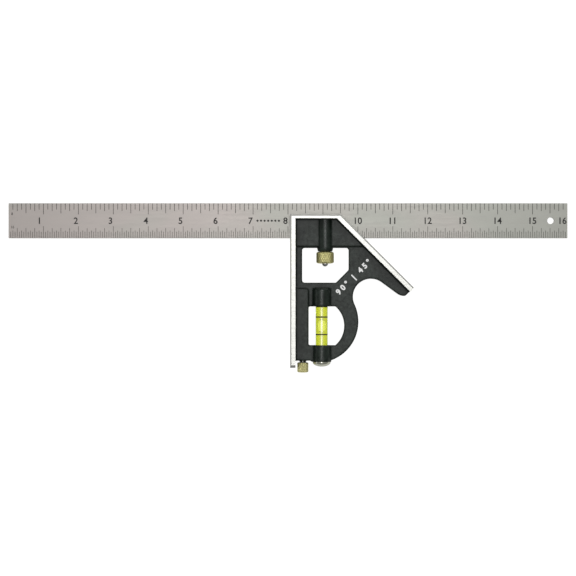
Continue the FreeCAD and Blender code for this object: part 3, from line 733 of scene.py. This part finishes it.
def crowned_side(low, high, radius, hub, rises):
    """Profile (y, r) of a crowned bar from its lower middle to its upper middle, with quarter-round ends.
    At turn t an end is at y = end + rise (1 - cos t) inward and r = hub + (radius - hub) sin t."""
    bend = np.linspace(0.0, np.pi / 2, 9)
    out = hub + (radius - hub) * np.sin(bend)
    inward = 1 - np.cos(bend)
    lower = np.stack([low + rises[0] * inward, out], axis=1)
    upper = np.stack([high - rises[1] * inward, out], axis=1)[::-1]
    return stretch(np.concatenate([lower, upper]), PROFILE_SPACING)


def knurl_fade(radius, span):
    """Share of a knurl's depth at each radius: it grows from 0 to 1 over the span."""
    return np.clip((radius - span[0]) / (span[1] - span[0]), 0.0, 1.0)[:, None]


nut_turns = NUT_KNURLS * 10
outer = crowned_side(nut_low.y, nut_high.y, nut_radius, NUT_HUB, NUT_ENDS_ROUND)
outer_marks = knurl_fade(outer[:, 1], NUT_KNURL_FADE) * (
    1.0 - knurl(outer[:, 0], nut_turns, NUT_KNURLS, NUT_KNURL_PITCH * 2)
)
outer_radius = outer[:, 1:2] - NUT_KNURL_DEPTH * outer_marks
bore_y = np.linspace(nut_high.y, nut_low.y, 80)
turn_share = np.arange(nut_turns)[None, :] / nut_turns
wave = np.abs(((bore_y[:, None] / THREAD_PITCH - turn_share) % 1.0) * 2.0 - 1.0)
bore_radius = NUT_BORE + NUT_THREAD_DEPTH * wave
nut_piece = turned_piece(
    "lock_nut_knurled",
    axis_of(nut_low, nut_high),
    np.concatenate([outer[:, 0], bore_y]),
    np.concatenate([outer_radius, bore_radius]),
    nut_turns,
    closed=True,
    marks=np.concatenate([outer_marks, np.full(bore_radius.shape, 0.5)]),
)


def brass(name, light, dull):
    """Brass with a mottled tarnish, darker and rougher in the grooves."""
    made, tree, shader = material(name, Metallic=1.0)
    tone = use(
        tree,
        speckle,
        {
            "Grain per metre": BRASS_GRAIN,
            "Tone A": dull,
            "Tone B": light,
            "Roughness A": 0.42,
            "Roughness B": 0.34,
        },
    )
    groove = add(tree, "ShaderNodeAttribute", attribute_name="groove").outputs["Fac"]
    grime = maths(tree, "MULTIPLY", maths(tree, "POWER", groove, 1.3), GRIME_SHARE)
    feed(
        tree,
        shader,
        bump=tone["Height"],
        distance=0.01 * mm,
        Base_Color=mix(tree, grime, tone["Color"], BRASS_GRIME),
        Roughness=maths(tree, "MULTIPLY_ADD", groove, 0.25, tone["Roughness"]),
    )
    return made


nut_piece.data.materials.append(brass("nut_brass", BRASS_LIGHT, BRASS_DULL))
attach(nut_piece, "lock_nut")
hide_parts("lock_nut")

# ---------------------------------------------------------------------------------------------
# Draw bolt and its spring: machine steel, threaded for the nut and rounded at the tip. The
# column beside the blade is milled flat and carries the lip that hooks into the blade's groove.
# ---------------------------------------------------------------------------------------------
BOLT_LIGHT = (0.86, 0.86, 0.84, 1.0)
BOLT_DULL = (0.66, 0.66, 0.64, 1.0)
SPRING_LIGHT = (0.5, 0.5, 0.5, 1.0)
SPRING_DULL = (0.3, 0.3, 0.31, 1.0)


def steel(name, light, dull, rough_low, rough_high, grain=1200.0):
    """Plain steel with faint mottling."""
    made, tree, shader = material(name, Metallic=1.0)
    tone = use(
        tree,
        speckle,
        {
            "Grain per metre": grain,
            "Tone A": dull,
            "Tone B": light,
            "Roughness A": rough_high,
            "Roughness B": rough_low,
        },
    )
    feed(
        tree,
        shader,
        bump=tone["Height"],
        distance=0.006 * mm,
        Base_Color=tone["Color"],
        Roughness=tone["Roughness"],
    )
    return made


refinish(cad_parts["lock_bolt"], steel("bolt_steel", BOLT_LIGHT, BOLT_DULL, 0.22, 0.34))
refinish(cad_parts["lock_spring"], steel("spring_steel", SPRING_LIGHT, SPRING_DULL, 0.25, 0.35))

# ---------------------------------------------------------------------------------------------
# Spirit level: a clear moulded tube with a plug welded in its end, filled with yellow-green
# spirit. Two black lines round the tube frame the bubble. Rubber pads and a domed cap hold it.
# ---------------------------------------------------------------------------------------------
SPIRIT = (0.88, 0.93, 0.07, 1.0)
SPIRIT_PAINTED_HIGHLIGHT = (0.98, 0.99, 0.56, 1.0)
SPIRIT_PAINTED_SHADE = (0.62, 0.72, 0.03, 1.0)
BUBBLE_GLOW = 0.16
BUBBLE_TIP = 0.04
BUBBLE_FULLNESS = 0.8
WALL_OVERLAP = 0.02 * mm
CAVITY_TIP_ROUND = 2.4 * mm
TUBE_EDGE_ROUND = 0.35 * mm
CLEAR_GRAIN = 500.0
TUBE_TINT = (0.97, 0.985, 0.95, 1.0)
PLUG_TINT = (0.93, 0.96, 0.88, 1.0)
AIR_TINT = (0.90, 0.90, 1.0, 1.0)
TUBE_IOR = 1.49
SPIRIT_IOR = 1.36
RING_DARK = (0.10, 0.11, 0.04, 1.0)
RING_WORN = (0.17, 0.18, 0.07, 1.0)
RUBBER_DARK = (0.02, 0.02, 0.02, 1.0)
RUBBER_WORN = (0.04, 0.04, 0.04, 1.0)

tube_low, tube_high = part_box("vial_tube")
fluid_low, fluid_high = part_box("vial_fluid")
bubble_low, bubble_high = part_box("vial_bubble")
tube_axis = axis_of(tube_low, tube_high)
tube_radius = (tube_high.x - tube_low.x) / 2
cavity_radius = (fluid_high.x - fluid_low.x) / 2
on_axis = 1e-6


def rounded_end(y, radius, round_off, direction):
    """Profile (y, r) of a quarter round from a bar's side to its flat end at y, facing direction (1 or -1).
    At turn t it is at y - direction round_off (1 - sin t) and r = radius - round_off (1 - cos t)."""
    bend = np.linspace(0.0, np.pi / 2, 12)
    along = y - direction * round_off * (1 - np.sin(bend))
    return np.stack([along, radius - round_off * (1 - np.cos(bend))], axis=1)


tube_profile = np.concatenate(
    [
        [(tube_low.y, cavity_radius)],
        rounded_end(tube_low.y, tube_radius, TUBE_EDGE_ROUND, -1)[::-1],
        rounded_end(tube_high.y, tube_radius, TUBE_EDGE_ROUND, 1),
        [(tube_high.y, on_axis), (fluid_high.y, on_axis)],
        rounded_end(fluid_high.y, cavity_radius, CAVITY_TIP_ROUND, 1)[::-1],
    ]
)
tube_piece = turned_piece("vial_tube_clear", tube_axis, *tube_profile.T, closed=True)


def clear(name, colour, roughness, ior, emission=0.0):
    """Clear plastic or liquid, with faint flow marks in its tint. An emission above 0 makes it glow in its
    tint: painted light.
    """
    made, tree, shader = material(name, Transmission_Weight=1.0, Metallic=0.0, IOR=ior, Roughness=roughness)
    lighter = tuple(min(1.0, c * 1.04) for c in colour)
    tone = use(tree, speckle, {"Grain per metre": CLEAR_GRAIN, "Tone A": colour, "Tone B": lighter})
    feed(tree, shader, Base_Color=tone["Color"])
    if emission:
        tree.links.new(tone["Color"], shader.inputs["Emission Color"])
        shader.inputs["Emission Strength"].default_value = emission
    return made


tube_piece.data.materials.append(clear("vial_acrylic", TUBE_TINT, 0.02, TUBE_IOR))
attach(tube_piece, "head")
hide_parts("vial_tube")

fill_radius = cavity_radius + WALL_OVERLAP
fluid_profile = np.concatenate(
    [[(fluid_low.y, fill_radius)], rounded_end(fluid_high.y + WALL_OVERLAP, fill_radius, CAVITY_TIP_ROUND, 1)]
)
fluid_piece = turned_piece("vial_spirit_fill", tube_axis, *fluid_profile.T)
vial_spirit = clear("vial_spirit", SPIRIT, 0.02, SPIRIT_IOR)
spirit_tree = vial_spirit.node_tree
spirit_place = add(spirit_tree, "ShaderNodeTexCoord").outputs["Object"]
spirit_x = add(spirit_tree, "ShaderNodeSeparateXYZ", {"Vector": spirit_place}).outputs["X"]
# Painted highlight makes the spirit paler along its middle, and painted shade makes it deeper beside the
# walls
off_axis = maths(spirit_tree, "ABSOLUTE", maths(spirit_tree, "SUBTRACT", spirit_x, tube_axis.x))
off_axis = maths(spirit_tree, "DIVIDE", off_axis, cavity_radius)
painted_highlight = maths(spirit_tree, "MULTIPLY_ADD", off_axis, -4.0, 1.2, clamp=True)
painted_shade = maths(spirit_tree, "MULTIPLY_ADD", off_axis, 2.2, -1.2, clamp=True)
spirit_shader = spirit_tree.nodes["Principled BSDF"]
spirit_tone = spirit_shader.inputs["Base Color"].links[0].from_socket
spirit_tone = mix(spirit_tree, painted_highlight, spirit_tone, SPIRIT_PAINTED_HIGHLIGHT)
feed(spirit_tree, spirit_shader, Base_Color=mix(spirit_tree, painted_shade, spirit_tone, SPIRIT_PAINTED_SHADE))
fluid_piece.data.materials.append(vial_spirit)
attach(fluid_piece, "head")
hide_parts("vial_fluid")

# The bubble's profile is y = -half cos t, r = half (sin t) ^ fullness, then pressed to its own depth
bubble_middle = (bubble_low + bubble_high) / 2
bubble_half = (bubble_high - bubble_low) / 2
arc = np.linspace(BUBBLE_TIP, np.pi - BUBBLE_TIP, 40)
bubble_y, bubble_r = -bubble_half.y * np.cos(arc), bubble_half.x * np.sin(arc) ** BUBBLE_FULLNESS
bubble_piece = turned_piece("vial_bubble_air", Vector((0.0, 0.0, 0.0)), bubble_y, bubble_r, 64)
bubble_points = np.array([v.co for v in bubble_piece.data.vertices])
bubble_points[:, 2] *= bubble_half.z / bubble_half.x
bubble_points += np.array(bubble_middle)
bubble_piece.data.vertices.foreach_set("co", bubble_points.ravel())
bubble_piece.data.update()
# The air glows a little: painted light that makes the bubble paler
vial_air = clear("vial_air", AIR_TINT, 0.02, 1.0 / SPIRIT_IOR, emission=BUBBLE_GLOW)
bubble_piece.data.materials.append(vial_air)
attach(bubble_piece, "bubble")
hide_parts("vial_bubble")

refinish(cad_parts["vial_end_plug"], clear("vial_plug_acrylic", PLUG_TINT, 0.05, TUBE_IOR))


def soft_dark(name, dark, worn, rough_dark, rough_worn):
    """Dark plastic, rubber or ink with a dry mottled surface."""
    made, tree, shader = material(name)
    tone = use(
        tree,
        speckle,
        {
            "Grain per metre": 1800.0,
            "Tone A": dark,
            "Tone B": worn,
            "Roughness A": rough_dark,
            "Roughness B": rough_worn,
        },
    )
    feed(
        tree,
        shader,
        bump=tone["Height"],
        distance=0.01 * mm,
        Base_Color=tone["Color"],
        Roughness=tone["Roughness"],
    )
    return made


ring_ink = soft_dark("vial_ring_ink", RING_DARK, RING_WORN, 0.5, 0.6)
pad_rubber = soft_dark("vial_pad_rubber", RUBBER_DARK, RUBBER_WORN, 0.7, 0.8)
for end in ("upper", "lower"):
    refinish(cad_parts[f"vial_ring_{end}"], ring_ink)
    refinish(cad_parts[f"vial_pad_{end}"], pad_rubber)

# Domed cap: turned and nickel plated, pressed into the mouth of the level's bore.
NICKEL_LIGHT = (0.82, 0.83, 0.70, 1.0)
NICKEL_DULL = (0.66, 0.67, 0.54, 1.0)
NICKEL_GRAIN = 700.0
CAP_RIM = 0.5 * mm
CAP_RISE = 3.1 * mm
CAP_EDGE_INSET = 0.12 * mm
CAP_SHOULDER = (0.42 * mm, 0.02 * mm)
CAP_LIP = 0.3 * mm
CAP_LIP_CHAMFER = 0.08 * mm
STEM_FIT = 0.03 * mm
STEM_CHAMFER = 0.2 * mm

cap_low, cap_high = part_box("vial_cap")
cap_radius = (cap_high.x - cap_low.x) / 2
cap_axis = axis_of(cap_low, cap_high)
seat_y = cap_low.y + CAP_RISE + CAP_RIM
stem_radius = tube_radius + STEM_FIT
swell = np.linspace(0.02, 1.0, 28) * np.pi / 2
dome_y = cap_low.y + CAP_RISE * (1 - np.cos(swell))
dome = np.stack([dome_y, (cap_radius - CAP_EDGE_INSET) * np.sin(swell)], axis=1)
rim = [
    (seat_y - CAP_SHOULDER[0], cap_radius - CAP_SHOULDER[1]),
    (seat_y - CAP_LIP, cap_radius),
    (seat_y - CAP_LIP_CHAMFER, cap_radius),
    (seat_y, cap_radius - CAP_LIP_CHAMFER),
    (seat_y, stem_radius),
    (cap_high.y - STEM_CHAMFER, stem_radius),
    (cap_high.y, stem_radius - STEM_CHAMFER),
]
cap_piece = turned_piece("vial_cap_domed", cap_axis, *np.concatenate([dome, rim]).T)
cap_piece.data.materials.append(steel("cap_nickel", NICKEL_LIGHT, NICKEL_DULL, 0.14, 0.24, NICKEL_GRAIN))
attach(cap_piece, "head")
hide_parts("vial_cap")

# ---------------------------------------------------------------------------------------------
# Scriber: a hardened needle with a brass grip, pushed into a split nylon bush in the bottom of
# the head. The grip is turned from bar, diamond knurled, and rounded at both ends.
# ---------------------------------------------------------------------------------------------
KNOB_KNURLS = 20
KNOB_KNURL_DEPTH = 0.24 * mm
KNOB_KNURL_PITCH = 1.2 * mm
KNOB_ENDS_ROUND = (0.8 * mm, 0.8 * mm)
KNOB_HUB = 1.6 * mm
KNOB_KNURL_FADE = (2.9 * mm, 3.6 * mm)
KNOB_LIGHT = (1.0, 0.95, 0.50, 1.0)
KNOB_DULL = (0.93, 0.88, 0.45, 1.0)
NEEDLE_LIGHT = (0.7, 0.7, 0.69, 1.0)
NEEDLE_DULL = (0.55, 0.55, 0.54, 1.0)
NYLON_DARK = (0.012, 0.012, 0.012, 1.0)
NYLON_WORN = (0.02, 0.02, 0.02, 1.0)

refinish(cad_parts["scriber_needle"], steel("needle_steel", NEEDLE_LIGHT, NEEDLE_DULL, 0.16, 0.26))
refinish(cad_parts["scriber_bush"], soft_dark("bush_nylon", NYLON_DARK, NYLON_WORN, 0.4, 0.5))

knob_low, knob_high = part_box("scriber_knob")
knob_axis = axis_of(knob_low, knob_high)
knob_radius = (knob_high.z - knob_low.z) / 2
knob_turns = KNOB_KNURLS * 10
grip = crowned_side(knob_low.y, knob_high.y, knob_radius, KNOB_HUB, KNOB_ENDS_ROUND)
grip_marks = knurl_fade(grip[:, 1], KNOB_KNURL_FADE) * (
    1.0 - knurl(grip[:, 0], knob_turns, KNOB_KNURLS, KNOB_KNURL_PITCH * 2)
)
grip_radius = grip[:, 1:2] - KNOB_KNURL_DEPTH * grip_marks
knob_piece = turned_piece(
    "scriber_knob_knurled", knob_axis, grip[:, 0], grip_radius, knob_turns, marks=grip_marks
)
knob_piece.data.materials.append(brass("knob_brass", KNOB_LIGHT, KNOB_DULL))
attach(knob_piece, "scriber")
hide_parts("scriber_knob")
